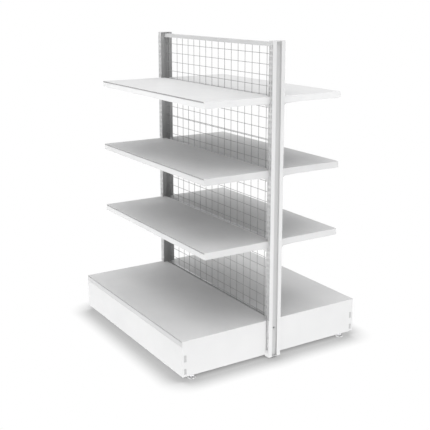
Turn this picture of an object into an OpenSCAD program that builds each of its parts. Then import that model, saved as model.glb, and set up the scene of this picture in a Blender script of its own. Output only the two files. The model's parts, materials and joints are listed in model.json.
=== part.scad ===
// Double-sided gondola shelving: two slotted uprights, a wire mesh back, three shelf levels a side
// and a base deck a side with kickplates. X runs along the bay, Y across it, Z up from the floor.

/* [Bay] */
// Distance between the centres of the two uprights
bay_pitch = 1000; // [800:10:1250]
// Height of the capped uprights above the floor
overall_h = 1455; // [1415:10:1815]
// Height of the base decks above the floor
deck_top_z = 190; // [185:1:230]
// Height of the kickplates' lower edge above the floor
plinth_z = 25; // [20:1:30]
// From the middle of the bay out to the face of a kickplate
base_reach = 482; // [440:1:600]
// From the middle of the bay out to the front edge of a shelf
shelf_reach = 365; // [280:1:430]

/* [Uprights] */
// Width of an upright along the bay
upright_w = 30; // [30:0.5:36]
// Depth of an upright across the bay
upright_d = 65; // [62:0.5:80]
// Sheet thickness of the uprights
upright_wall = 2; // [1.5:0.1:2.5]
// Height of the upright's lower end above the floor
upright_z = 10; // [10:0.5:14]
// Width of the groove down the middle of an upright's wide faces
groove_w = 26.5; // [25:0.5:28]
// Depth of that groove
groove_depth = 7.5; // [6:0.1:7.5]
// Thickness of the plate that closes an upright's lower end
upright_sole = 4; // [3:0.5:8]
// Diameter of the hole for bolting on the next bay
join_hole_d = 9; // [6:0.5:11]
// Height of that hole above the floor
join_hole_z = 150; // [70:1:150]

/* [Slots] */
// Spacing of the slots down an upright
slot_pitch = 25; // [24:0.5:27]
// Height of one slot
slot_h = 16; // [15.5:0.1:18]
// Width of one slot
slot_w = 3.6; // [3.4:0.1:4]
// Distance of a row of slots from the upright's centre
slot_row_x = 7; // [5.5:0.1:9]
// Slot steps from the deck up to the lowest shelf
first_steps = 15; // [10:1:15]
// Slot steps from one shelf to the next
shelf_steps = 13; // [8:1:13]

/* [Hooks] */
// Thickness of the brackets and of the base legs' side plates
bracket_t = 3; // [2.5:0.1:3]
// Height of a hook's neck, where it lies in its slot
hook_neck_h = 9; // [7:0.5:9]
// How far a hook hangs down behind the slotted face
hook_drop = 6; // [4:0.5:6]
// Thickness of a hook behind the slotted face
hook_t = 3; // [2:0.5:5]
// Play between a hook and the back of the slotted face
hook_play = 0.3; // [0.2:0.1:0.5]
// Drop of the slots' lower edges below the levels that a shelf can stand at
slot_drop = 20; // [16:0.5:20]

/* [Shelves] */
// Sheet thickness of shelves, decks, kickplates and end panels
sheet = 1.5; // [1:0.1:2]
// Height of a shelf's front edge
shelf_lip_h = 30; // [24:0.5:40]
// Height of a shelf's end flange beside the upright
shelf_flange_back_h = 30; // [18:0.5:34]
// Height of a shelf's rear flange
shelf_rear_h = 20; // [12:0.5:28]
// Space between a shelf's end and the middle of the upright
shelf_end_gap = 3; // [2:0.1:3.5]
// Half of the space left for the back between the front and rear shelves or decks
back_gap = 12; // [12:0.5:14]
// Width of the stiffening channel under a shelf
stiffener_w = 40; // [20:1:60]
// Height of that channel
stiffener_h = 14; // [8:0.5:18]

/* [Brackets] */
// Height of a bracket beside the upright, from the underside of the shelf
bracket_root_h = 54; // [53:0.5:70]
// Height of a bracket at the foot of its steep part
bracket_knee_h = 32; // [28:0.5:40]
// Length of the steep part
bracket_knee_l = 24; // [15:0.5:40]
// Height of a bracket at its front end
bracket_nose_h = 20; // [12:0.5:24]
// Space between a bracket's front end and the shelf's front edge
bracket_nose_gap = 20; // [5:0.5:40]

/* [Base] */
// Height of a deck's front lip
deck_lip_h = 27; // [20:0.5:27]
// Height of the joint between that lip and the kickplate
deck_joint = 0.5; // [0.5:0.1:2]
// Space between the end of the deck's lip and the end panel
deck_end_gap = 2.5; // [0.5:0.1:4]
// How far an end panel's face stands out past the middle of the upright
end_panel_x = 3; // [3:0.1:8]
// Space between an end panel and the slotted face of the upright
end_panel_gap = 8.5; // [4:0.5:20]
// Depth of a kickplate's top and bottom flanges
kick_flange = 30; // [26:0.5:40]
// Width of the slots at an end panel's outer corner
corner_slot_w = 11; // [6:0.5:14]
// Distance of those slots from the panel's outer edge
corner_slot_in = 9; // [8:0.5:16]
// Height of the upper corner slot
upper_slot_h = 31; // [20:0.5:34]
// Drop of the upper corner slot's top edge below the deck
upper_slot_drop = 66; // [60:0.5:70]
// Height of the lower corner slot
lower_slot_h = 25; // [15:0.5:25]
// Drop of the lower corner slot's top edge below the deck
lower_slot_drop = 128; // [120:0.5:130]
// Play of a kickplate's tabs in the corner slots, all round
tab_play = 1; // [0.5:0.1:2]
// Height of a base leg's underside above the floor
leg_z = 40; // [36:0.5:46]
// Width of a base leg's top and bottom flanges
leg_flange_w = 34; // [30:0.5:45]
// Thickness of those flanges
leg_flange_t = 3; // [2:0.5:4]

/* [Back] */
// Rough spacing of the mesh's upright wires, evened out to fill each panel
mesh_cell_w = 57; // [40:1:80]
// Rough spacing of its level wires, evened out likewise
mesh_cell_h = 47; // [40:1:80]
// Thickness of a mesh wire
wire_t = 4; // [3:0.5:5]
// Thickness of the flat bars at the mesh panels' sides
mesh_bar_t = 5; // [3:0.5:5]
// Depth of those bars, which stand in the uprights' grooves
mesh_bar_d = 24; // [12:0.5:24]
// Height of the top rail
top_rail_h = 18; // [14:0.5:30]
// Drop of the top rail's top edge below the tops of the caps
top_rail_drop = 8; // [6.5:0.5:20]
// Depth of the top rail
top_rail_d = 24; // [18:0.5:24]
// Height of the bottom rail
bottom_rail_h = 28; // [18:0.5:28]
// Depth of the bottom rail
bottom_rail_d = 22; // [16:0.5:22]
// Drop of the bottom rail's top edge below the decks
bottom_rail_drop = 5; // [4:0.5:6]
// Diameter of the rail screws' shanks
screw_d = 4.8; // [3:0.1:6]
// Diameter of the rail screws' heads
screw_head_d = 10; // [8:0.5:12]
// Thickness of the rail screws' heads
screw_head_t = 3; // [2:0.5:4]

/* [Caps and plugs] */
// Height of the cap's rim on top of an upright
cap_h = 3; // [2:0.5:6]
// Depth to which a cap reaches down inside the upright
cap_tail = 15; // [8:0.5:25]
// Height of the plug in the top of an outer groove
plug_h = 12; // [8:0.5:25]

/* [Levelling feet] */
// Thread diameter of a foot's stud
stud_d = 10; // [8:0.5:10]
// Length of a base leg's stud
leg_stud_l = 70; // [50:1:100]
// Length of an upright's stud
upright_stud_l = 60; // [45:1:100]
// Diameter of a foot's pad
pad_d = 36; // [28:0.5:44]
// Height of a foot's pad
pad_h = 8; // [6:0.5:8]
// Thickness of the pad under its stud
pad_floor = 3; // [2:0.5:4]
// Width across the flats of the stud's adjusting nut and of the weld nut
nut_af = 17; // [15:0.5:19]
// Height of the weld nut on a base leg
nut_h = 8; // [6:0.5:10]
// Height of the adjusting hexagon on a base leg's stud
adjuster_h = 6; // [4:0.5:7]
// From the kickplate's face in to a base leg's foot
foot_inset = 60; // [50:0.5:90]

/* [Clearances] */
// Play of flat pieces that slide in, hook on or lift off
fit = 0.3; // [0.2:0.05:0.5]
// Space under a piece that rests on another
seat = 0.1; // [0.05:0.05:0.2]
// Play round a stud in its bore, on the radius
bore_play = 0.05; // [0.03:0.01:0.1]
// Play of the mesh and the rails in the uprights' grooves
groove_play = 1; // [0.5:0.1:1.5]

/* [Hidden] */

// Sides as signs: front is -Y, left is -X
FRONT = -1;
BACK = 1;
LEFT = -1;
RIGHT = 1;
// Overlap that makes a cut pass clean through
cut = 1;

steel_white = [0.93, 0.93, 0.93];
steel_shade = [0.86, 0.87, 0.88];
zinc = [0.66, 0.67, 0.69];
grey_plastic = [0.50, 0.50, 0.51];
pale_plastic = [0.80, 0.80, 0.79];

upright_x = bay_pitch / 2;
upright_face_y = upright_d / 2;
upright_inner_x = upright_x - upright_w / 2;
upright_top_z = overall_h - cap_h;
groove_floor_x = upright_inner_x + groove_depth;

// Slots: number k has its lower edge slot_drop below the level k steps above the deck
function slot_z(k) = deck_top_z + k * slot_pitch - slot_drop;
slot_first = -floor((deck_top_z - slot_drop - upright_z - upright_sole - slot_pitch) / slot_pitch);
slot_last = floor((upright_top_z - cap_tail - slot_h - fit - deck_top_z + slot_drop) / slot_pitch);
function shelf_z(level) = deck_top_z + (first_steps + level * shelf_steps) * slot_pitch;

bracket_x = upright_x - slot_row_x;
root_y = upright_face_y + fit;
shelf_half_l = upright_x - shelf_end_gap;
notch_half_l = upright_inner_x - fit;
notch_y = upright_face_y + fit;

deck_under_z = deck_top_z - sheet;
panel_face_x = upright_x + end_panel_x;
panel_inner_x = panel_face_x - sheet;
panel_rear_y = upright_face_y + end_panel_gap;
leg_outer_x = bracket_x + bracket_t / 2;
leg_nose_y = base_reach - kick_flange - fit;
leg_lower_slot = -2;
kick_top_z = deck_top_z - deck_lip_h - deck_joint;
foot_y = base_reach - foot_inset;
foot_x = leg_outer_x - leg_flange_w / 2;

// Slots at an end panel's outer corner, as drop of the top edge and height
corner_slots = [[upper_slot_drop, upper_slot_h], [lower_slot_drop, lower_slot_h]];
corner_slot_y = base_reach - corner_slot_in - corner_slot_w;

rail_end_x = groove_floor_x - groove_play;
bottom_rail_z = deck_top_z - bottom_rail_drop - bottom_rail_h;
top_rail_z = overall_h - top_rail_drop - top_rail_h;
rail_screw_x = rail_end_x - sheet;
bottom_screw_z = bottom_rail_z + bottom_rail_h / 2;
top_screw_z = top_rail_z + top_rail_h / 2;
mesh_low_z = bottom_rail_z + sheet + seat;
mesh_high_z = overall_h - top_rail_drop - sheet - seat;
mesh_panels = 3;
mesh_panel_h = (mesh_high_z - mesh_low_z) / mesh_panels - seat;
mesh_cols = round(2 * (rail_end_x - mesh_bar_t) / mesh_cell_w);
mesh_rows = round(mesh_panel_h / mesh_cell_h);

// Draws its children, modelled on the back right, on the named side and end
module placed(side, end) {
  mirror([end < 0 ? 1 : 0, 0, 0])
    mirror([0, side < 0 ? 1 : 0, 0])
      children();
}

// A box between two corners
module block(lo, hi) {
  translate(lo) cube(hi - lo);
}

// Section of an upright: a box with a groove down each wide face
module upright_section() {
  inner_w = upright_w - 2 * upright_wall;
  inner_d = upright_d - 2 * upright_wall;
  groove_block = groove_depth + upright_wall;
  difference() {
    square([upright_w, upright_d], center = true);
    for (end = [LEFT, RIGHT])
      translate([end * upright_w / 2, 0]) square([2 * groove_depth, groove_w], center = true);
    difference() {
      square([inner_w, inner_d], center = true);
      for (end = [LEFT, RIGHT])
        translate([end * upright_w / 2, 0])
          square([2 * groove_block, groove_w + 2 * upright_wall], center = true);
    }
  }
}

// Both rows of slots, as prisms through one slotted face
module slot_cuts() {
  translate([0, upright_face_y + cut, 0])
    rotate([90, 0, 0])
      linear_extrude(upright_wall + 2 * cut)
        for (row = [LEFT, RIGHT], k = [slot_first : slot_last])
          translate([row * slot_row_x - slot_w / 2, slot_z(k)]) square([slot_w, slot_h]);
}

// A hole along X through one groove floor of an upright, end +1 for the outer groove
module groove_hole(end, d, z) {
  translate([end * (upright_w / 2 - groove_depth + cut), 0, z])
    rotate([0, -90 * end, 0]) cylinder(d = d, h = upright_wall + 2 * cut, $fn = 48);
}

module upright(end) {
  color(steel_white)
    placed(BACK, end)
      translate([upright_x, 0, 0])
        difference() {
          union() {
            translate([0, 0, upright_z]) linear_extrude(upright_top_z - upright_z) upright_section();
            block([-upright_w / 2 + upright_wall, -groove_w / 2, upright_z],
                  [upright_w / 2 - upright_wall, groove_w / 2, upright_z + upright_sole]);
          }
          for (side = [0, 1]) mirror([0, side, 0]) slot_cuts();
          for (face = [LEFT, RIGHT]) groove_hole(face, join_hole_d, join_hole_z);
          groove_hole(LEFT, screw_d, bottom_screw_z);
          groove_hole(LEFT, screw_d, top_screw_z);
          translate([0, 0, upright_z - cut])
            cylinder(d = stud_d + 2 * bore_play, h = upright_sole + 2 * cut, $fn = 64);
        }
}

// Cap: a rim over the whole end and two tongues down inside the upright
module upright_cap(end) {
  tongue_w = upright_w - 2 * upright_wall - 2 * fit;
  tongue_lo = groove_w / 2 + upright_wall + fit;
  tongue_hi = upright_face_y - upright_wall - fit;
  color(steel_shade)
    placed(BACK, end)
      translate([upright_x, 0, 0]) {
        block([-upright_w / 2, -upright_face_y, upright_top_z], [upright_w / 2, upright_face_y, overall_h]);
        for (side = [0, 1])
          mirror([0, side, 0])
            block([-tongue_w / 2, tongue_lo, upright_top_z - cap_tail], [tongue_w / 2, tongue_hi, upright_top_z]);
      }
}

// Grey plugs at the top of the outer grooves
module groove_plugs() {
  half_w = groove_w / 2 - fit;
  face_x = upright_x + upright_w / 2 - sheet;
  color(grey_plastic)
    for (end = [LEFT, RIGHT])
      placed(BACK, end)
        block([upright_x + upright_w / 2 - groove_depth + fit, -half_w, upright_top_z - plug_h],
              [face_x, half_w, upright_top_z - seat]);
}

// A rail between the uprights: a channel with a plate and a screw hole at each end
module rail(z, h, d, open_up, screw_z) {
  inner_lo = open_up ? z + sheet : z - cut;
  inner_hi = open_up ? z + h + cut : z + h - sheet;
  plate_x = rail_end_x - sheet;
  color(steel_white)
    difference() {
      block([-rail_end_x, -d / 2, z], [rail_end_x, d / 2, z + h]);
      block([-plate_x, -d / 2 + sheet, inner_lo], [plate_x, d / 2 - sheet, inner_hi]);
      for (end = [LEFT, RIGHT])
        translate([end * (rail_end_x + cut), 0, screw_z])
          rotate([0, -90 * end, 0]) cylinder(d = screw_d, h = sheet + 2 * cut, $fn = 48);
    }
}

module top_rail() {
  rail(top_rail_z, top_rail_h, top_rail_d, false, top_screw_z);
}

module bottom_rail() {
  rail(bottom_rail_z, bottom_rail_h, bottom_rail_d, true, bottom_screw_z);
}

// Screws from inside the rails' end plates into the groove floors
module rail_screws() {
  tip_x = groove_floor_x + upright_wall + fit;
  color(zinc)
    for (end = [LEFT, RIGHT], z = [bottom_screw_z, top_screw_z])
      placed(BACK, end)
        translate([rail_screw_x, 0, z])
          rotate([0, 90, 0]) {
            translate([0, 0, -screw_head_t]) cylinder(d = screw_head_d, h = screw_head_t, $fn = 48);
            cylinder(d = screw_d - 2 * bore_play, h = tip_x - rail_screw_x, $fn = 48);
          }
}

// One mesh panel: crossed wires between flat side bars that stand in the grooves
module mesh_panel(number) {
  z = mesh_low_z + number * (mesh_panel_h + seat);
  grid_half_l = rail_end_x - mesh_bar_t;
  col_step = (2 * grid_half_l - wire_t) / mesh_cols;
  row_step = (mesh_panel_h - wire_t) / mesh_rows;
  bar_lo = number == 0 ? bottom_rail_h : 0;
  bar_hi = number == mesh_panels - 1 ? mesh_panel_h - top_rail_h : mesh_panel_h;
  color(steel_white)
    translate([0, 0, z]) {
      rotate([90, 0, 0])
        linear_extrude(wire_t, center = true)
          difference() {
            translate([-grid_half_l, 0]) square([2 * grid_half_l, mesh_panel_h]);
            for (c = [0 : mesh_cols - 1], r = [0 : mesh_rows - 1])
              translate([-grid_half_l + wire_t + c * col_step, wire_t + r * row_step])
                square([col_step - wire_t, row_step - wire_t]);
          }
      for (end = [LEFT, RIGHT])
        placed(BACK, end)
          block([grid_half_l, -mesh_bar_d / 2, bar_lo], [rail_end_x, mesh_bar_d / 2, bar_hi]);
    }
}

module mesh_low() {
  mesh_panel(0);
}

module mesh_mid() {
  mesh_panel(1);
}

module mesh_top() {
  mesh_panel(2);
}

// Outline of a hook in its slot, from its top round to its underside, as distance out and height
function hook_points(slot_bottom) =
  let (
    low = slot_bottom + seat,
    back = upright_face_y - upright_wall - hook_play,
    tip = back - hook_t
  )
  [
    [root_y, low + hook_neck_h],
    [tip, low + hook_neck_h],
    [tip, low - hook_drop],
    [back, low - hook_drop],
    [back, low],
    [root_y, low]
  ];

// Stands an outline of distance out and height up as a plate in the plane of the slots
module side_plate(points) {
  translate([bracket_x - bracket_t / 2, 0, 0])
    rotate([90, 0, 90]) linear_extrude(bracket_t) polygon(points);
}

// Bracket: a tapered plate with two hooks, under one end of a shelf
module bracket(side, level, end) {
  top = shelf_z(level) - sheet;
  nose_y = shelf_reach - bracket_nose_gap;
  slot_number = first_steps + level * shelf_steps;
  color(steel_shade)
    placed(side, end)
      side_plate(concat(
        [[nose_y, top], [root_y, top]],
        hook_points(slot_z(slot_number)),
        hook_points(slot_z(slot_number - 1)),
        [
          [root_y, top - bracket_root_h],
          [root_y + bracket_knee_l, top - bracket_knee_h],
          [nose_y, top - bracket_nose_h]
        ]
      ));
}

// Sheet with its rear corners notched round the uprights
module notched_sheet(half_l, reach, z) {
  translate([0, 0, z])
    linear_extrude(sheet)
      difference() {
        translate([-half_l, back_gap]) square([2 * half_l, reach - back_gap]);
        for (end = [LEFT, RIGHT])
          translate([end * half_l, back_gap])
            square([2 * (half_l - notch_half_l), 2 * (notch_y - back_gap)], center = true);
      }
}

// Shelf: a tray folded down at the front, the ends and the rear, with a stiffener below
module shelf(side, level) {
  z = shelf_z(level);
  stiffener_y = (notch_y + shelf_reach) / 2;
  stiffener_half_l = bracket_x - bracket_t / 2 - shelf_lip_h / 2;
  color(steel_white)
    placed(side, RIGHT) {
      notched_sheet(shelf_half_l, shelf_reach, z - sheet);
      block([-shelf_half_l, shelf_reach - sheet, z - shelf_lip_h], [shelf_half_l, shelf_reach, z]);
      block([-notch_half_l, back_gap, z - shelf_rear_h], [notch_half_l, back_gap + sheet, z]);
      for (end = [LEFT, RIGHT])
        placed(BACK, end)
          translate([shelf_half_l - sheet, 0, z])
            rotate([90, 0, 90])
              linear_extrude(sheet)
                polygon([
                  [notch_y, 0],
                  [shelf_reach, 0],
                  [shelf_reach, -shelf_lip_h],
                  [notch_y, -shelf_flange_back_h]
                ]);
      difference() {
        block([-stiffener_half_l, stiffener_y - stiffener_w / 2, z - sheet - stiffener_h],
              [stiffener_half_l, stiffener_y + stiffener_w / 2, z - sheet]);
        block([-stiffener_half_l - cut, stiffener_y - stiffener_w / 2 + sheet, z - stiffener_h],
              [stiffener_half_l + cut, stiffener_y + stiffener_w / 2 - sheet, z - sheet]);
      }
    }
}

// Base leg: a side plate hooked to the upright, flanged above and below, with a weld nut
module leg(side, end) {
  top = deck_under_z - seat;
  color(steel_shade)
    placed(side, end)
      difference() {
        union() {
          side_plate(concat(
            [[leg_nose_y, top], [root_y, top]],
            hook_points(slot_z(0)),
            hook_points(slot_z(leg_lower_slot)),
            [[root_y, leg_z], [leg_nose_y, leg_z]]
          ));
          block([leg_outer_x - leg_flange_w, root_y, leg_z], [leg_outer_x, leg_nose_y, leg_z + leg_flange_t]);
          block([leg_outer_x - leg_flange_w, root_y, top - leg_flange_t], [leg_outer_x, leg_nose_y, top]);
          translate([foot_x, foot_y, leg_z])
            cylinder(d = nut_af / cos(30), h = leg_flange_t + nut_h, $fn = 6);
        }
        translate([foot_x, foot_y, leg_z - cut])
          cylinder(d = stud_d + 2 * bore_play, h = leg_flange_t + nut_h + 2 * cut, $fn = 64);
      }
}

// Deck: a tray between the end panels, with a lip over the kickplate
module deck(side) {
  half_l = panel_inner_x - fit;
  lip_half_l = panel_inner_x - deck_end_gap;
  color(steel_white)
    placed(side, RIGHT) {
      notched_sheet(half_l, base_reach, deck_under_z);
      block([-lip_half_l, base_reach - sheet, deck_top_z - deck_lip_h], [lip_half_l, base_reach, deck_top_z]);
    }
}

// Kickplate: the long face of the plinth, flanged inwards all round, with tabs in the corner slots
module kickplate(side) {
  half_l = panel_inner_x - fit;
  rear_y = base_reach - kick_flange;
  color(steel_white)
    placed(side, RIGHT) {
      difference() {
        block([-half_l, rear_y, plinth_z], [half_l, base_reach, kick_top_z]);
        block([-half_l + sheet, rear_y - cut, plinth_z + sheet],
              [half_l - sheet, base_reach - sheet, kick_top_z - sheet]);
      }
      for (end = [LEFT, RIGHT], s = corner_slots)
        placed(BACK, end)
          block([half_l - sheet, corner_slot_y + tab_play, deck_top_z - s[0] - s[1] + tab_play],
                [panel_face_x - fit, corner_slot_y + corner_slot_w - tab_play, deck_top_z - s[0] - tab_play]);
    }
}

// End panel: the short face of the plinth on one side of the upright
module end_panel(side, end) {
  return_x = leg_outer_x + fit;
  color(steel_white)
    placed(side, end)
      difference() {
        union() {
          block([panel_inner_x, panel_rear_y, plinth_z], [panel_face_x, base_reach, deck_top_z]);
          block([return_x, panel_rear_y, plinth_z], [panel_face_x, panel_rear_y + sheet, deck_under_z - fit]);
        }
        for (s = corner_slots)
          block([panel_inner_x - cut, corner_slot_y, deck_top_z - s[0] - s[1]],
                [panel_face_x + cut, corner_slot_y + corner_slot_w, deck_top_z - s[0]]);
      }
}

// Foot pad: a turned disc with a socket for its stud
module foot_pad(x, y) {
  rim_h = pad_h / 2;
  neck_d = stud_d + pad_h;
  color(pale_plastic)
    translate([x, y, 0])
      difference() {
        rotate_extrude($fn = 96)
          polygon([
            [0, 0],
            [pad_d / 2, 0],
            [pad_d / 2, rim_h],
            [neck_d / 2, pad_h],
            [0, pad_h]
          ]);
        translate([0, 0, pad_floor]) cylinder(d = stud_d + 2 * bore_play, h = pad_h, $fn = 64);
      }
}

// Stud: a threaded rod shown as its plain core, with an adjusting hexagon above the pad
module foot_stud(x, y, l, hexagon_h) {
  color(zinc)
    translate([x, y, 0]) {
      translate([0, 0, pad_floor + seat]) cylinder(d = stud_d, h = l, $fn = 64);
      if (hexagon_h > 0)
        translate([0, 0, pad_h + fit]) cylinder(d = nut_af / cos(30), h = hexagon_h, $fn = 6);
    }
}

module upright_left() {
  upright(LEFT);
}

module upright_right() {
  upright(RIGHT);
}

module upright_cap_left() {
  upright_cap(LEFT);
}

module upright_cap_right() {
  upright_cap(RIGHT);
}

upright_left();
upright_right();
upright_cap_left();
upright_cap_right();
groove_plugs();
top_rail();
bottom_rail();
rail_screws();
mesh_low();
mesh_mid();
mesh_top();
leg(FRONT, LEFT);  // leg_front_left
leg(FRONT, RIGHT);  // leg_front_right
leg(BACK, LEFT);  // leg_back_left
leg(BACK, RIGHT);  // leg_back_right
deck(FRONT);  // deck_front
deck(BACK);  // deck_back
kickplate(FRONT);  // kickplate_front
kickplate(BACK);  // kickplate_back
end_panel(FRONT, LEFT);  // end_panel_front_left
end_panel(FRONT, RIGHT);  // end_panel_front_right
end_panel(BACK, LEFT);  // end_panel_back_left
end_panel(BACK, RIGHT);  // end_panel_back_right
shelf(FRONT, 0);  // shelf_front_low
shelf(FRONT, 1);  // shelf_front_mid
shelf(FRONT, 2);  // shelf_front_top
shelf(BACK, 0);  // shelf_back_low
shelf(BACK, 1);  // shelf_back_mid
shelf(BACK, 2);  // shelf_back_top
bracket(FRONT, 0, LEFT);  // bracket_front_low_left
bracket(FRONT, 0, RIGHT);  // bracket_front_low_right
bracket(FRONT, 1, LEFT);  // bracket_front_mid_left
bracket(FRONT, 1, RIGHT);  // bracket_front_mid_right
bracket(FRONT, 2, LEFT);  // bracket_front_top_left
bracket(FRONT, 2, RIGHT);  // bracket_front_top_right
bracket(BACK, 0, LEFT);  // bracket_back_low_left
bracket(BACK, 0, RIGHT);  // bracket_back_low_right
bracket(BACK, 1, LEFT);  // bracket_back_mid_left
bracket(BACK, 1, RIGHT);  // bracket_back_mid_right
bracket(BACK, 2, LEFT);  // bracket_back_top_left
bracket(BACK, 2, RIGHT);  // bracket_back_top_right
foot_pad(-foot_x, -foot_y);  // foot_pad_front_left
foot_pad(foot_x, -foot_y);  // foot_pad_front_right
foot_pad(-foot_x, foot_y);  // foot_pad_back_left
foot_pad(foot_x, foot_y);  // foot_pad_back_right
foot_pad(-upright_x, 0);  // foot_pad_upright_left
foot_pad(upright_x, 0);  // foot_pad_upright_right
foot_stud(-foot_x, -foot_y, leg_stud_l, adjuster_h);  // foot_stud_front_left
foot_stud(foot_x, -foot_y, leg_stud_l, adjuster_h);  // foot_stud_front_right
foot_stud(-foot_x, foot_y, leg_stud_l, adjuster_h);  // foot_stud_back_left
foot_stud(foot_x, foot_y, leg_stud_l, adjuster_h);  // foot_stud_back_right
foot_stud(-upright_x, 0, upright_stud_l, 0);  // foot_stud_upright_left
foot_stud(upright_x, 0, upright_stud_l, 0);  // foot_stud_upright_right
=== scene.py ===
"""Gondola shelving: powder-coated steel, wire mesh, plastic and zinc finishes, and a studio round them."""
import json
import math

import bmesh
import bpy
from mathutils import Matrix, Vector

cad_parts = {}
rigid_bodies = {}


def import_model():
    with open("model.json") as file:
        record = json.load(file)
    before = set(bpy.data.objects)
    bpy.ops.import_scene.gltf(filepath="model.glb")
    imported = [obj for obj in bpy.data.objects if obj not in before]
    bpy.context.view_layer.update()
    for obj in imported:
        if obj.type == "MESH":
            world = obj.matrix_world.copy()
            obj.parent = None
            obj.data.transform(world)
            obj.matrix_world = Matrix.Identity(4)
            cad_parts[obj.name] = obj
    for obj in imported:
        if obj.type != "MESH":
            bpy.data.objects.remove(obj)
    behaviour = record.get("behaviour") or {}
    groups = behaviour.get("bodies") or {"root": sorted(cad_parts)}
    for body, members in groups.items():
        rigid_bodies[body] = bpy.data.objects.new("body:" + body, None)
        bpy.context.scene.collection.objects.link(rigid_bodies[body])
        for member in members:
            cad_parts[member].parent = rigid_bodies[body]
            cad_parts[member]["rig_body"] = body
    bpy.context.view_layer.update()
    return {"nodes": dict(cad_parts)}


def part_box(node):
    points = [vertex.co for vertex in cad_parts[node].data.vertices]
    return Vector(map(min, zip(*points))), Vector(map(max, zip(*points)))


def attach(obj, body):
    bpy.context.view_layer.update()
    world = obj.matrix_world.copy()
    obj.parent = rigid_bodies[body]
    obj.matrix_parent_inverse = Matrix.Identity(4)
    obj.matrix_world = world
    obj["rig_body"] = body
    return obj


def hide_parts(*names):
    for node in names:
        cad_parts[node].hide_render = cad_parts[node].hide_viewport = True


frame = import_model()

MM = 0.001
UP = Vector((0, 0, 1))

# Camera: a place in the part's frame, a turn about Z, a tilt, and its lens and sensor in millimetres
CAMERA_AT = Vector((3.328, -2.086, 1.643))
CAMERA_YAW = math.radians(57.933)
CAMERA_PITCH = math.radians(-12.275)
CAMERA_LENS = 67.97
CAMERA_SHIFT_Y = -0.10
SENSOR_WIDTH = 36.0

# Sky: its light at a few heights, as the sine of the elevation and a share of its strength
SKY = ((0.0, 0.0), (0.3, 0.0), (0.65, 0.40), (1.0, 1.0))
SKY_STRENGTH = 3.0

# Floor: its width, the light that it throws back up, and the greys of its painted shade beside the part and
# inside the base, each for a share of open sky within a reach
FLOOR_SIZE = 40.0
FLOOR_BOUNCE = 2.1
BESIDE_REACH = 0.115
BESIDE_GREYS = ((0.612, 0.5), (1.0, 1.0))
INSIDE_REACH = 0.6
INSIDE_GREYS = ((0.0, 0.2), (0.2, 1.0))
SHADE_SAMPLES = 16

# How close counts as the same place, from points that are welded up to faces on one side of a piece
WELD_DISTANCE = 1e-6
HAIR = 0.1 * MM
NEAR = 0.25 * MM
CLOSE = 1.0 * MM

# Sheet metal: rolled folds and broken cut edges, where a face narrower than this is a cut through the sheet
FOLD_RADIUS = 2.2 * MM
RAIL_FOLD_RADIUS = 0.7 * MM
CUT_RADIUS = 0.35 * MM
FOLD_SEGMENTS = 3
NARROW_FACE = 3.5 * MM

# Angles: up to the first an edge only splits a flat face, and from the second it is a fold or a cut edge
FLAT_ANGLE = math.radians(0.5)
FOLD_ANGLE = math.radians(35)

# The sharpest edge that is still shaded smooth
SMOOTH_SHEET = math.radians(40)
SMOOTH_PAD = math.radians(35)
SMOOTH_WIRES = math.radians(50)
SMOOTH_THREAD = math.radians(40)

# Places in a sheet's list of materials after its flats: its edges, and what a tray or kickplate adds
EDGE = 1
SHADOW_LINE = 2
LIP = 3
TAB = 2

# How squarely a face looks along Y, as a cosine, to count as part of a front lip
FACING = 0.9

# Painted shadow line: dark grey painted over the long front folds of the shelves and decks for the shade
# along them, and its sunk lower part
SHADOW_LINE_TOP = 3.0 * MM
SHADOW_LINE_SUNK = 3.0 * MM
SHADOW_LINE_DEPTH = 0.6 * MM
SHADOW_LINE_END = 4.0 * MM

# How far above the end panels' lower edges the lighter coat in the slit beside an upright starts: painted
# light against the slit's shade
SLIT_END = 25.0 * MM

# How far a kickplate's corner tabs stand out of its ends
TAB_REACH = 1.3 * MM

# Moulded caps and plugs
CAP_RADIUS = 1.2 * MM
PLUG_RADIUS = 0.8 * MM

# Wire mesh: a wire's radius as a share of the panel's thickness
WIRE_SIDES = 10
WIRE_SHARE = 0.28

# Foot pads: the rounding of the rim and its middle point, the break at the socket's mouth, and the
# height of the socket's floor as a share of the pad's
PAD_SIDES = 144
PAD_RIM = 1.2 * MM
PAD_RIM_MIDDLE = 0.35 * MM
PAD_MOUTH = 0.8 * MM
PAD_FLOOR = 0.375

# Rings of a pad's shoulder, by how far inwards of the rim they stand, and of its collar, by how far
# outwards of the socket, each with its height as a share of the pad's
PAD_SHOULDER = ((0.0, 0.38), (0.5 * MM, 0.48), (1.6 * MM, 0.53))
PAD_COLLAR = ((4.6 * MM, 0.86), (3.9 * MM, 0.97), (3.2 * MM, 1.0))

# Flutes of a pad's skirt: the sides that each spans, its depth, and its upper end as a share of the height
FLUTE_SIDES = 3
FLUTE_DEPTH = 0.5 * MM
FLUTE_TOP = 0.5

# Threads: one turn's profile is rises in shares of the pitch, each sunk by a share of the depth
THREAD_PITCH = 1.5 * MM
THREAD_DEPTH = 0.55 * MM
THREAD_STEPS = 20
THREAD_PROFILE = ((0.0, 1.0), (0.12, 1.0), (0.45, 0.0), (0.55, 0.0), (0.88, 1.0))

# The rod inside a thread, with its radius as a share of the thread's root, and the hexagon on it
CORE_SHARE = 0.995
CORE_SIDES = 24
HEXAGON_CHAMFER = 0.6 * MM
CHAMFER_SEGMENTS = 2

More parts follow.
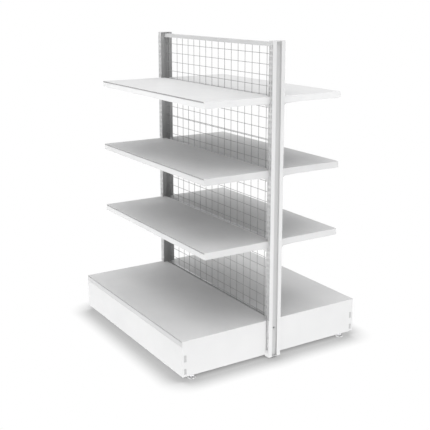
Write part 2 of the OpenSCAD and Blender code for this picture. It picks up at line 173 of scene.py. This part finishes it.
# Tone of each coat that comes with edges painted lighter as a painted highlight and rubbed as wear, and of
# each that is needed without them
EDGED_TONES = {
    "upright": 0.61,
    "inner": 0.34,
    "rail": 0.60,
    "shelf": 0.57,
    # Lighter than the other shelves' coat, though the same paint: painted light for the open sky over the
    # top shelf
    "top_shelf": 0.67,
    "deck": 0.565,
    "plinth": 0.60,
    # A little darker than the end panels' plinth coat, though the same paint: painted shade for the
    # stronger light on the front faces
    "kickplate": 0.553,
    "bracket": 0.60,
    "leg": 0.60,
}
PLAIN_TONES = {
    "slotted": 0.55,
    # Lighter slotted coat in the slit beside the end panels: painted light against the shade there
    "slotted_painted_light": 0.74,
    # Darker coats in the grooves, darkest on the inner side: painted shade in the recesses
    "groove": 0.47,
    "inner_groove": 0.25,
    # The decks' front lips: darker than the deck and kickplate coats, painted shade under the front fold
    "deck_lip": 0.45,
    # Darker coat on the kickplate tabs in the corner slots: painted shade in the slots
    "corner_tab": 0.42,
    "mesh": 0.31,
}


class Nodes:
    """Short calls to build one node material."""

    def __init__(self, name):
        self.material = bpy.data.materials.new(name)
        self.material.use_nodes = True
        self.tree = self.material.node_tree
        self.shader = self.tree.nodes["Principled BSDF"]
        self.place = self.add("ShaderNodeTexCoord").outputs["Object"]

    def add(self, kind):
        """A new node."""
        return self.tree.nodes.new(kind)

    def link(self, source, target):
        """Leads an output to an input."""
        self.tree.links.new(source, target)

    def noise(self, scale, detail, roughness=0.5):
        """Noise at the object's own coordinates."""
        node = self.add("ShaderNodeTexNoise")
        node.inputs["Scale"].default_value = scale
        node.inputs["Detail"].default_value = detail
        node.inputs["Roughness"].default_value = roughness
        self.link(self.place, node.inputs["Vector"])
        return node.outputs["Fac"]

    def spread(self, source, low, high, start=0.0, end=1.0):
        """Maps source from start..end to low..high."""
        node = self.add("ShaderNodeMapRange")
        node.inputs["From Min"].default_value = start
        node.inputs["From Max"].default_value = end
        node.inputs["To Min"].default_value = low
        node.inputs["To Max"].default_value = high
        self.link(source, node.inputs["Value"])
        return node.outputs["Result"]

    def blend_colours(self, factor, first, second):
        """Runs from the first colour to the second as factor rises."""
        node = self.add("ShaderNodeMix")
        node.data_type = "RGBA"
        node.inputs["A"].default_value = (*first, 1.0)
        node.inputs["B"].default_value = (*second, 1.0)
        self.link(factor, node.inputs["Factor"])
        return node.outputs["Result"]

    def bump(self, height, strength, distance, under=None):
        """Relief from a height, over the relief under it."""
        node = self.add("ShaderNodeBump")
        node.inputs["Strength"].default_value = strength
        node.inputs["Distance"].default_value = distance
        self.link(height, node.inputs["Height"])
        if under is not None:
            self.link(under, node.inputs["Normal"])
        return node.outputs["Normal"]

    def set(self, socket, value):
        """Sets one of the shader's own values."""
        self.shader.inputs[socket].default_value = value

    def feed(self, socket, source):
        """Leads an output to the shader."""
        self.link(source, self.shader.inputs[socket])


def tinted(tone, *shares):
    """A grey tone times a share for red, green and blue, no brighter than white."""
    return tuple(min(1.0, tone * share) for share in shares)


def powder_coat(name, tone):
    """Powder-coated steel: orange peel, faint cloudiness and fine scuffs in the gloss."""
    nodes = Nodes(name)
    cloud = nodes.spread(nodes.noise(scale=5.0, detail=2.0), low=0.0, high=1.0, start=0.3, end=0.7)
    deep = tinted(tone, 0.965, 0.967, 0.972)
    light = tinted(tone, 1.02, 1.02, 1.022)
    nodes.feed("Base Color", nodes.blend_colours(cloud, deep, light))
    scuffs = nodes.noise(scale=38.0, detail=8.0, roughness=0.75)
    nodes.feed("Roughness", nodes.spread(scuffs, low=0.35, high=0.47, start=0.35, end=0.65))
    peel = nodes.bump(nodes.noise(scale=320.0, detail=2.0), strength=0.12, distance=0.25 * MM)
    grain = nodes.noise(scale=1100.0, detail=1.0)
    nodes.feed("Normal", nodes.bump(grain, strength=0.072, distance=0.08 * MM, under=peel))
    nodes.set("Specular IOR Level", 0.45)
    return nodes.material


def edge_highlight_and_wear(name, tone):
    """The same coat where it rolls over a fold or a cut edge: thinner and smoother, a little lighter as a
    painted highlight, and rubbed darker in places as wear.
    """
    nodes = Nodes(name)
    rub = nodes.noise(scale=60.0, detail=6.0, roughness=0.7)
    worn = nodes.spread(rub, low=0.0, high=1.0, start=0.50, end=0.78)
    # Painted highlight: the edge is lighter than the flat coat; the rubbed patches are wear
    bright = tinted(tone, 1.06, 1.06, 1.06)
    rubbed = tinted(tone, 0.90, 0.905, 0.912)
    nodes.feed("Base Color", nodes.blend_colours(worn, bright, rubbed))
    nodes.feed("Roughness", nodes.spread(rub, low=0.28, high=0.45, start=0.4, end=0.7))
    nodes.feed("Normal", nodes.bump(rub, strength=0.1, distance=0.1 * MM))
    nodes.set("Specular IOR Level", 0.5)
    return nodes.material


def moulded_plastic(name, tone, rough):
    """Matt moulded plastic with faint flow marks and a fine spark-eroded texture."""
    nodes = Nodes(name)
    flow = nodes.noise(scale=14.0, detail=3.0)
    deep = tinted(tone, 0.92, 0.92, 0.92)
    light = tinted(tone, 1.06, 1.06, 1.07)
    nodes.feed("Base Color", nodes.blend_colours(flow, deep, light))
    nodes.feed("Roughness", nodes.spread(flow, low=rough - 0.05, high=rough + 0.08))
    spark = nodes.noise(scale=900.0, detail=4.0, roughness=0.65)
    nodes.feed("Normal", nodes.bump(spark, strength=0.35, distance=0.12 * MM))
    return nodes.material


def zinc_plate(name):
    """Zinc-plated steel: bright, faintly mottled and finely grained."""
    nodes = Nodes(name)
    mottle = nodes.noise(scale=70.0, detail=5.0, roughness=0.6)
    nodes.feed("Base Color", nodes.blend_colours(mottle, (0.50, 0.50, 0.52), (0.70, 0.70, 0.71)))
    nodes.feed("Roughness", nodes.spread(mottle, low=0.26, high=0.46))
    grain = nodes.noise(scale=700.0, detail=3.0)
    nodes.feed("Normal", nodes.bump(grain, strength=0.15, distance=0.06 * MM))
    nodes.set("Metallic", 1.0)
    return nodes.material


coats = {name: powder_coat(f"coat_{name}", tone) for name, tone in (EDGED_TONES | PLAIN_TONES).items()}
edges = {name: edge_highlight_and_wear(f"coat_edge_{name}", tone) for name, tone in EDGED_TONES.items()}
# Dark grey for the painted shadow line along the front folds of the shelves and decks: painted shade, not a
# separate part
shadow_line_paint = moulded_plastic("painted_shadow_line", tone=0.29, rough=0.5)
grey_plastic = moulded_plastic("plastic_grey", tone=0.36, rough=0.55)
pale_plastic = moulded_plastic("plastic_pale", tone=0.6, rough=0.5)
cap_plastic = moulded_plastic("plastic_cap", tone=0.62, rough=0.5)
zinc = zinc_plate("zinc")


def new_object(name, bm, materials, smooth_angle=None):
    """Turns a bmesh into an object with materials, shaded smooth up to an angle."""
    mesh = bpy.data.meshes.new(name)
    bm.to_mesh(mesh)
    bm.free()
    for material in materials:
        mesh.materials.append(material)
    obj = bpy.data.objects.new(name, mesh)
    bpy.context.scene.collection.objects.link(obj)
    if smooth_angle is not None:
        for polygon in mesh.polygons:
            polygon.use_smooth = True
        mesh.set_sharp_from_angle(angle=smooth_angle)
    return obj


def finish(piece, node):
    """Rides a piece on its node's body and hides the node."""
    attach(piece, frame["nodes"][node]["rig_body"])
    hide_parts(node)


def nodes_named(prefix):
    """CAD nodes whose names start with prefix, in order."""
    return sorted(name for name in frame["nodes"] if name.startswith(prefix))


def points_of(node):
    """Where the points of a CAD node are."""
    return [vertex.co for vertex in frame["nodes"][node].data.vertices]


def apply_modifiers(piece):
    """Replaces a piece's mesh with what its modifiers make of it."""
    graph = bpy.context.evaluated_depsgraph_get()
    made = bpy.data.meshes.new_from_object(piece.evaluated_get(graph))
    piece.modifiers.clear()
    piece.data = made


def flat_copy(node):
    """A bmesh of a CAD node without the edges that only split its flat faces."""
    bm = bmesh.new()
    bm.from_mesh(frame["nodes"][node].data)
    bmesh.ops.remove_doubles(bm, verts=bm.verts, dist=WELD_DISTANCE)
    bmesh.ops.dissolve_limit(bm, angle_limit=FLAT_ANGLE, verts=bm.verts, edges=bm.edges)
    return bm


def cut_along(bm, place, normal):
    """Splits every face that a plane crosses."""
    everything = bm.verts[:] + bm.edges[:] + bm.faces[:]
    bmesh.ops.bisect_plane(bm, geom=everything, dist=WELD_DISTANCE, plane_co=place, plane_no=normal)


def is_corner(edge):
    """True if two faces meet at an edge in a fold or cut edge that points outwards."""
    return len(edge.link_faces) == 2 and edge.is_convex and edge.calc_face_angle(0.0) >= FOLD_ANGLE


def is_wide(face, edge):
    """True if a face is wider than a cut through the sheet, measured away from one of its edges."""
    return face.calc_area() / max(edge.calc_length(), WELD_DISTANCE) > NARROW_FACE


def rolled(bm, name, materials, fold_radius=FOLD_RADIUS):
    """An object from a bmesh whose folds are rolled and whose cut edges are broken."""
    weights = bm.edges.layers.float.new("bevel_weight_edge")
    for edge in filter(is_corner, bm.edges):
        fold = all(is_wide(face, edge) for face in edge.link_faces)
        edge[weights] = 1.0 if fold else CUT_RADIUS / fold_radius
    piece = new_object(name, bm, materials, SMOOTH_SHEET)
    bevel = piece.modifiers.new("rolled", "BEVEL")
    bevel.limit_method = "WEIGHT"
    bevel.width = fold_radius
    bevel.segments = FOLD_SEGMENTS
    bevel.use_clamp_overlap = True
    if len(materials) > EDGE:
        bevel.material = EDGE
    piece.modifiers.new("flats", "WEIGHTED_NORMAL").keep_sharp = True
    return piece


def folded_copy(node, slot, materials=None, fold_radius=FOLD_RADIUS):
    """Stands for a CAD node with a copy whose folds are rolled and whose cut edges are broken."""
    materials = materials or [coats[slot], edges[slot]]
    piece = rolled(flat_copy(node), f"{node}_sheet", materials, fold_radius)
    finish(piece, node)
    return piece


def front_faces(bm, front_y):
    """The faces of a tray's long front lip."""
    facing = [face for face in bm.faces if abs(face.normal.y) > FACING]
    return [face for face in facing if abs(abs(face.calc_center_median().y) - front_y) < NEAR]


def sink_shadow_line(bm, top_z, front_y):
    """Sinks the lower part of the painted shadow line into the long front lip, and gives half the line's
    length.
    """
    for drop in (SHADOW_LINE_TOP, SHADOW_LINE_TOP + SHADOW_LINE_SUNK):
        cut_along(bm, (0, 0, top_z - drop), (0, 0, 1))
    reach = max(abs(v.co.x) for face in front_faces(bm, front_y) for v in face.verts) - SHADOW_LINE_END
    for side in (-1, 1):
        cut_along(bm, (side * reach, 0, 0), (1, 0, 0))
    middle_z = top_z - SHADOW_LINE_TOP - SHADOW_LINE_SUNK / 2
    sunk = []
    for face in front_faces(bm, front_y):
        centre = face.calc_center_median()
        if abs(centre.z - middle_z) < SHADOW_LINE_SUNK / 4 and abs(centre.x) < reach:
            sunk.append(face)
    bmesh.ops.inset_region(bm, faces=sunk, thickness=0.0, depth=-SHADOW_LINE_DEPTH)
    for face in sunk:
        face.material_index = SHADOW_LINE
    return reach


def tray(node, slot, coat):
    """A shelf or deck, with a thin painted shadow line of dark grey over its long front fold."""
    low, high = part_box(node)
    front_y = max(abs(low.y), abs(high.y))
    bm = flat_copy(node)
    reach = sink_shadow_line(bm, high.z, front_y)
    # The deck's front lip takes a darker coat: painted shade under the front fold
    if slot == "deck":
        for face in front_faces(bm, front_y):
            face.material_index = LIP
    piece = rolled(bm, f"{node}_sheet", [coats[coat], edges[coat], shadow_line_paint, coats["deck_lip"]])
    apply_modifiers(piece)
    # Faces of the rolled front fold under the line also take the painted shadow line
    for face in piece.data.polygons:
        high_up = high.z - face.center.z < SHADOW_LINE_TOP + SHADOW_LINE_SUNK
        far_out = front_y - abs(face.center.y) < FOLD_RADIUS
        if high_up and far_out and abs(face.center.x) < reach:
            face.material_index = SHADOW_LINE
    finish(piece, node)


def upright_zone(face, low, high, slit):
    """Which of an upright's coats a face takes, by its place between the upright's corners."""
    size = high - low
    depth = max(abs(low.x), abs(high.x)) - abs(face.center.x)
    inward = depth > size.x / 2
    if face.material_index == EDGE:
        return "inner_edge" if inward else "edge"
    # Slotted faces in the slit take the lighter coat: painted light
    if size.y / 2 - abs(face.center.y) < CLOSE:
        return "slotted_painted_light" if slit[0] < face.center.z < slit[1] else "slotted"
    if depth < CLOSE:
        return "outer"
    if size.x - depth < CLOSE:
        return "inner"
    # Groove faces take darker coats: painted shade
    return "inner_groove" if inward else "groove"


def upright(node):
    """An upright with its own coats on the slotted faces and the inner side, painted shade in the grooves,
    and painted light on the slotted faces in the slit.
    """
    zones = {
        "outer": coats["upright"],
        "edge": edges["upright"],
        "slotted": coats["slotted"],
        "groove": coats["groove"],
        "inner": coats["inner"],
        "inner_edge": edges["inner"],
        "inner_groove": coats["inner_groove"],
        "slotted_painted_light": coats["slotted_painted_light"],
    }
    places = {zone: place for place, zone in enumerate(zones)}
    slit = (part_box("end_panel_front_left")[0].z + SLIT_END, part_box("deck_front")[1].z)
    bm = flat_copy(node)
    for z in slit:
        cut_along(bm, (0, 0, z), (0, 0, 1))
    piece = rolled(bm, f"{node}_sheet", list(zones.values()))
    finish(piece, node)
    apply_modifiers(piece)
    low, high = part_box(node)
    for face in piece.data.polygons:
        face.material_index = places[upright_zone(face, low, high, slit)]


def kickplate(node):
    """A kickplate whose tabs that fill the end panels' corner slots take a darker coat: painted shade in
    the slots.
    """
    # The kickplate coat is a darker copy of the end panels' plinth coat: painted shade
    piece = folded_copy(node, "plinth", [coats["kickplate"], edges["kickplate"], coats["corner_tab"]])
    apply_modifiers(piece)
    end_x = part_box(node)[1].x
    for face in piece.data.polygons:
        if end_x - abs(face.center.x) < TAB_REACH:
            face.material_index = TAB


def bridge(bm, below, above):
    """Faces between two rings of points, either of which may be a single point."""
    sides = max(len(below), len(above))
    for i in range(sides):
        j = (i + 1) % sides
        corners = (below[i % len(below)], below[j % len(below)],
                   above[j % len(above)], above[i % len(above)])
        bm.faces.new(list(dict.fromkeys(corners)))


def add_rod(bm, start, end, radius, sides):
    """A closed round rod between two points."""
    axis = (end - start).normalized()
    across = axis.orthogonal().normalized()
    other = axis.cross(across)
    rings = []
    for centre in (start, end):
        ring = []
        for i in range(sides):
            turn = 2 * math.pi * i / sides
            outward = math.cos(turn) * across + math.sin(turn) * other
            ring.append(bm.verts.new(centre + radius * outward))
        rings.append(ring)
    bridge(bm, *rings)
    bm.faces.new(rings[0][::-1])
    bm.faces.new(rings[1])


def add_block(bm, low, high):
    """A box between two corners."""
    made = bmesh.ops.create_cube(bm, size=1.0)["verts"]
    bmesh.ops.scale(bm, vec=high - low, verts=made)
    bmesh.ops.translate(bm, vec=(low + high) / 2, verts=made)


def distinct(values):
    """Values in order, where those within a hair of each other count once."""
    kept = []
    for value in sorted(values):
        if not kept or value - kept[-1] > HAIR:
            kept.append(value)
    return kept


def middles(sides):
    """The middle of each wire, from its two sides one after the other."""
    return [(first + second) / 2 for first, second in zip(sides[0::2], sides[1::2])]


def mesh_panel(node):
    """Round wires sunk into each other where they cross, the upright ones in front, and flat end bars."""
    low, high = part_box(node)
    points = points_of(node)
    thick = 2 * min(abs(point.y) for point in points)
    xs = distinct(point.x for point in points if abs(point.y) < thick)
    zs = distinct(point.z for point in points if abs(point.y) < thick)
    bar_zs = [point.z for point in points if abs(point.y) > thick]
    radius = WIRE_SHARE * thick
    wire_y = thick / 2 - radius
    bm = bmesh.new()
    for x in middles(xs):
        add_rod(bm, Vector((x, -wire_y, zs[0])), Vector((x, -wire_y, zs[-1])), radius, WIRE_SIDES)
    for z in middles(zs):
        add_rod(bm, Vector((xs[0], wire_y, z)), Vector((xs[-1], wire_y, z)), radius, WIRE_SIDES)
    for low_x, high_x in ((low.x, xs[0]), (xs[-1], high.x)):
        add_block(bm, Vector((low_x, low.y, min(bar_zs))), Vector((high_x, high.y, max(bar_zs))))
    finish(new_object(f"{node}_wires", bm, [coats["mesh"]], SMOOTH_WIRES), node)


def pad_profile(radius, socket, tall):
    """A foot pad's rings as radius and height, from its underside's middle round to its socket's."""
    rim = [(radius - PAD_RIM, 0.0), (radius - PAD_RIM_MIDDLE, PAD_RIM_MIDDLE), (radius, PAD_RIM)]
    shoulder = [(radius - inset, share * tall) for inset, share in PAD_SHOULDER]
    collar = [(socket + wall, share * tall) for wall, share in PAD_COLLAR]
    mouth = [(socket + PAD_MOUTH, tall), (socket, tall - PAD_MOUTH), (socket, PAD_FLOOR * tall)]
    return [(0.0, 0.0), *rim, *shoulder, *collar, *mouth, (0.0, PAD_FLOOR * tall)]


def pad_ring(bm, centre, radius, z, fluted):
    """A ring of points on a foot pad, in and out where it is fluted, or one point at its middle."""
    if radius == 0.0:
        return [bm.verts.new(centre + z * UP)]
    ring = []
    for i in range(PAD_SIDES):
        turn = 2 * math.pi * i / PAD_SIDES
        sunk = FLUTE_DEPTH if fluted and (i // FLUTE_SIDES) % 2 else 0.0
        reach = radius - sunk
        ring.append(bm.verts.new(centre + Vector((reach * math.cos(turn), reach * math.sin(turn), z))))
    return ring


def foot_pad(node):
    """A turned plastic pad with a rounded rim, a fluted skirt and a collar round its stud."""
    low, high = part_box(node)
    centre = Vector(((low.x + high.x) / 2, (low.y + high.y) / 2, low.z))
    radius = (high - low).x / 2
    tall = (high - low).z
    socket = min((point.xy - centre.xy).length for point in points_of(node) if point.z > high.z - HAIR)
    bm = bmesh.new()
    rings = []
    for ring_radius, z in pad_profile(radius, socket, tall):
        on_skirt = CLOSE < z < FLUTE_TOP * tall and ring_radius > radius - CLOSE
        rings.append(pad_ring(bm, centre, ring_radius, z, on_skirt))
    for below, above in zip(rings, rings[1:]):
        bridge(bm, below, above)
    bmesh.ops.recalc_face_normals(bm, faces=bm.faces)
    plastic = grey_plastic if "upright" in node else pale_plastic
    finish(new_object(f"{node}_turned", bm, [plastic], SMOOTH_PAD), node)


def add_thread(bm, centre, low_z, length, radius):
    """A helical thread: columns of points round it, each joined to the next and to the turn above."""
    steps = int((length - THREAD_PITCH) / THREAD_PITCH * THREAD_STEPS)
    columns = []
    for step in range(steps + 1):
        turn = 2 * math.pi * step / THREAD_STEPS
        outward = Vector((math.cos(turn), math.sin(turn), 0))
        base_z = low_z + step * THREAD_PITCH / THREAD_STEPS
        column = []
        for rise, sunk in THREAD_PROFILE:
            reach = radius - sunk * THREAD_DEPTH
            column.append(bm.verts.new(centre + reach * outward + (base_z + rise * THREAD_PITCH) * UP))
        columns.append(column)
    for here, there in zip(columns, columns[1:]):
        for i in range(len(THREAD_PROFILE) - 1):
            bm.faces.new((here[i], there[i], there[i + 1], here[i + 1]))
    for i in range(steps - THREAD_STEPS):
        here, there = columns[i:i + 2]
        above_here, above_there = columns[i + THREAD_STEPS:i + THREAD_STEPS + 2]
        bm.faces.new((here[-1], there[-1], above_there[0], above_here[0]))


def hexagon(node, start, end, radius):
    """A stud's adjusting hexagon, with chamfered edges."""
    bm = bmesh.new()
    add_rod(bm, start, end, radius, sides=6)
    piece = new_object(f"{node}_hexagon", bm, [zinc])
    bevel = piece.modifiers.new("chamfer", "BEVEL")
    bevel.width = HEXAGON_CHAMFER
    bevel.segments = CHAMFER_SEGMENTS
    finish(piece, node)


def threaded_stud(node):
    """A stud with a real helical thread, and its adjusting hexagon where the node has one."""
    low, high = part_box(node)
    size = high - low
    centre = Vector(((low.x + high.x) / 2, (low.y + high.y) / 2, 0))
    points = points_of(node)
    radius = max(abs(point.x - centre.x) for point in points if point.z > high.z - CLOSE)
    hexagon_zs = [point.z for point in points if abs(point.x - centre.x) > radius + CLOSE]
    core = CORE_SHARE * (radius - THREAD_DEPTH)
    bm = bmesh.new()
    add_thread(bm, centre, low.z, size.z, radius)
    add_rod(bm, centre + low.z * UP, centre + high.z * UP, core, CORE_SIDES)
    piece = new_object(f"{node}_thread", bm, [zinc], SMOOTH_THREAD)
    if hexagon_zs:
        hexagon(node, centre + min(hexagon_zs) * UP, centre + max(hexagon_zs) * UP, size.x / 2)
    finish(piece, node)


def dress():
    """Gives every node its finished piece or its material."""
    for node in ("upright_left", "upright_right"):
        upright(node)
    for node in ("top_rail", "bottom_rail"):
        folded_copy(node, "rail", fold_radius=RAIL_FOLD_RADIUS)
    for prefix, slot in (("leg_", "leg"), ("end_panel_", "plinth"), ("bracket_", "bracket")):
        for node in nodes_named(prefix):
            folded_copy(node, slot)
    for node in nodes_named("kickplate_"):
        kickplate(node)
    for node in nodes_named("deck_"):
        tray(node, "deck", "deck")
    for node in nodes_named("shelf_"):
        # The top shelf takes a lighter copy of the shelf coat: painted light
        tray(node, "shelf", "top_shelf" if node.endswith("top") else "shelf")
    for node in nodes_named("upright_cap_"):
        folded_copy(node, "cap", [cap_plastic], CAP_RADIUS)
    for node in nodes_named("foot_pad_"):
        foot_pad(node)
    folded_copy("groove_plugs", "plug", [grey_plastic], PLUG_RADIUS)
    frame["nodes"]["rail_screws"].material_slots[0].material = zinc
    for node in nodes_named("mesh_"):
        mesh_panel(node)
    for node in nodes_named("foot_stud_"):
        threaded_stud(node)


def lit_apart(tree, output, seen, cast):
    """Shows the camera one shader and lights everything else with another."""
    path = tree.nodes.new("ShaderNodeLightPath")
    mix = tree.nodes.new("ShaderNodeMixShader")
    tree.links.new(path.outputs["Is Camera Ray"], mix.inputs["Fac"])
    tree.links.new(cast, mix.inputs[1])
    tree.links.new(seen, mix.inputs[2])
    tree.links.new(mix.outputs["Shader"], output.inputs["Surface"])


def ramp(tree, source, stops):
    """Greys that run from stop to stop as source rises."""
    node = tree.nodes.new("ShaderNodeValToRGB")
    elements = node.color_ramp.elements
    while len(elements) < len(stops):
        elements.new(0.5)
    for element, (place, grey) in zip(elements, stops):
        element.position = place
        element.color = (grey, grey, grey, 1.0)
    tree.links.new(source, node.inputs["Fac"])
    return node.outputs["Color"]


def sky():
    """A white backdrop that lights the part softly from all round, and more from high up."""
    world = bpy.data.worlds.new("studio")
    world.use_nodes = True
    tree = world.node_tree
    seen = tree.nodes["Background"]
    seen.inputs["Color"].default_value = (1.0, 1.0, 1.0, 1.0)
    cast = tree.nodes.new("ShaderNodeBackground")
    cast.inputs["Strength"].default_value = SKY_STRENGTH
    direction = tree.nodes.new("ShaderNodeTexCoord").outputs["Generated"]
    split = tree.nodes.new("ShaderNodeSeparateXYZ")
    tree.links.new(direction, split.inputs["Vector"])
    tree.links.new(ramp(tree, split.outputs["Z"], SKY), cast.inputs["Color"])
    lit_apart(tree, tree.nodes["World Output"], seen.outputs["Background"], cast.outputs["Background"])
    bpy.context.scene.world = world


def occluded(tree, reach, stops):
    """Painted shade: greys by how much of the sky within reach a point of the floor sees."""
    near = tree.nodes.new("ShaderNodeAmbientOcclusion")
    near.samples = SHADE_SAMPLES
    near.inputs["Distance"].default_value = reach
    return ramp(tree, near.outputs["AO"], stops)


def floor():
    """A pale floor that glows, throwing light back up, with painted shade that is soft beside the part and
    dark inside it.
    """
    bm = bmesh.new()
    bmesh.ops.create_grid(bm, x_segments=1, y_segments=1, size=FLOOR_SIZE / 2)
    material = bpy.data.materials.new("floor")
    material.use_nodes = True
    tree = material.node_tree
    tree.nodes.remove(tree.nodes["Principled BSDF"])
    both = tree.nodes.new("ShaderNodeVectorMath")
    both.operation = "MULTIPLY"
    tree.links.new(occluded(tree, BESIDE_REACH, BESIDE_GREYS), both.inputs[0])
    tree.links.new(occluded(tree, INSIDE_REACH, INSIDE_GREYS), both.inputs[1])
    # The camera sees the floor glowing with the painted shade greys
    seen = tree.nodes.new("ShaderNodeEmission")
    tree.links.new(both.outputs["Vector"], seen.inputs["Color"])
    cast = tree.nodes.new("ShaderNodeEmission")
    cast.inputs["Strength"].default_value = FLOOR_BOUNCE
    lit_apart(tree, tree.nodes["Material Output"], seen.outputs["Emission"], cast.outputs["Emission"])
    material.cycles.emission_sampling = "NONE"
    new_object("floor", bm, [material])


def studio():
    """Plain soft light from all round."""
    sky()
    floor()
    bpy.context.scene.view_settings.view_transform = "Standard"


def camera():
    """The photograph's camera."""
    data = bpy.data.cameras.new("camera")
    data.lens = CAMERA_LENS
    data.sensor_width = SENSOR_WIDTH
    data.shift_y = CAMERA_SHIFT_Y
    obj = bpy.data.objects.new("camera", data)
    bpy.context.scene.collection.objects.link(obj)
    obj.location = CAMERA_AT
    obj.rotation_euler = (math.pi / 2 + CAMERA_PITCH, 0.0, CAMERA_YAW)
    bpy.context.scene.camera = obj


camera()
studio()
dress()
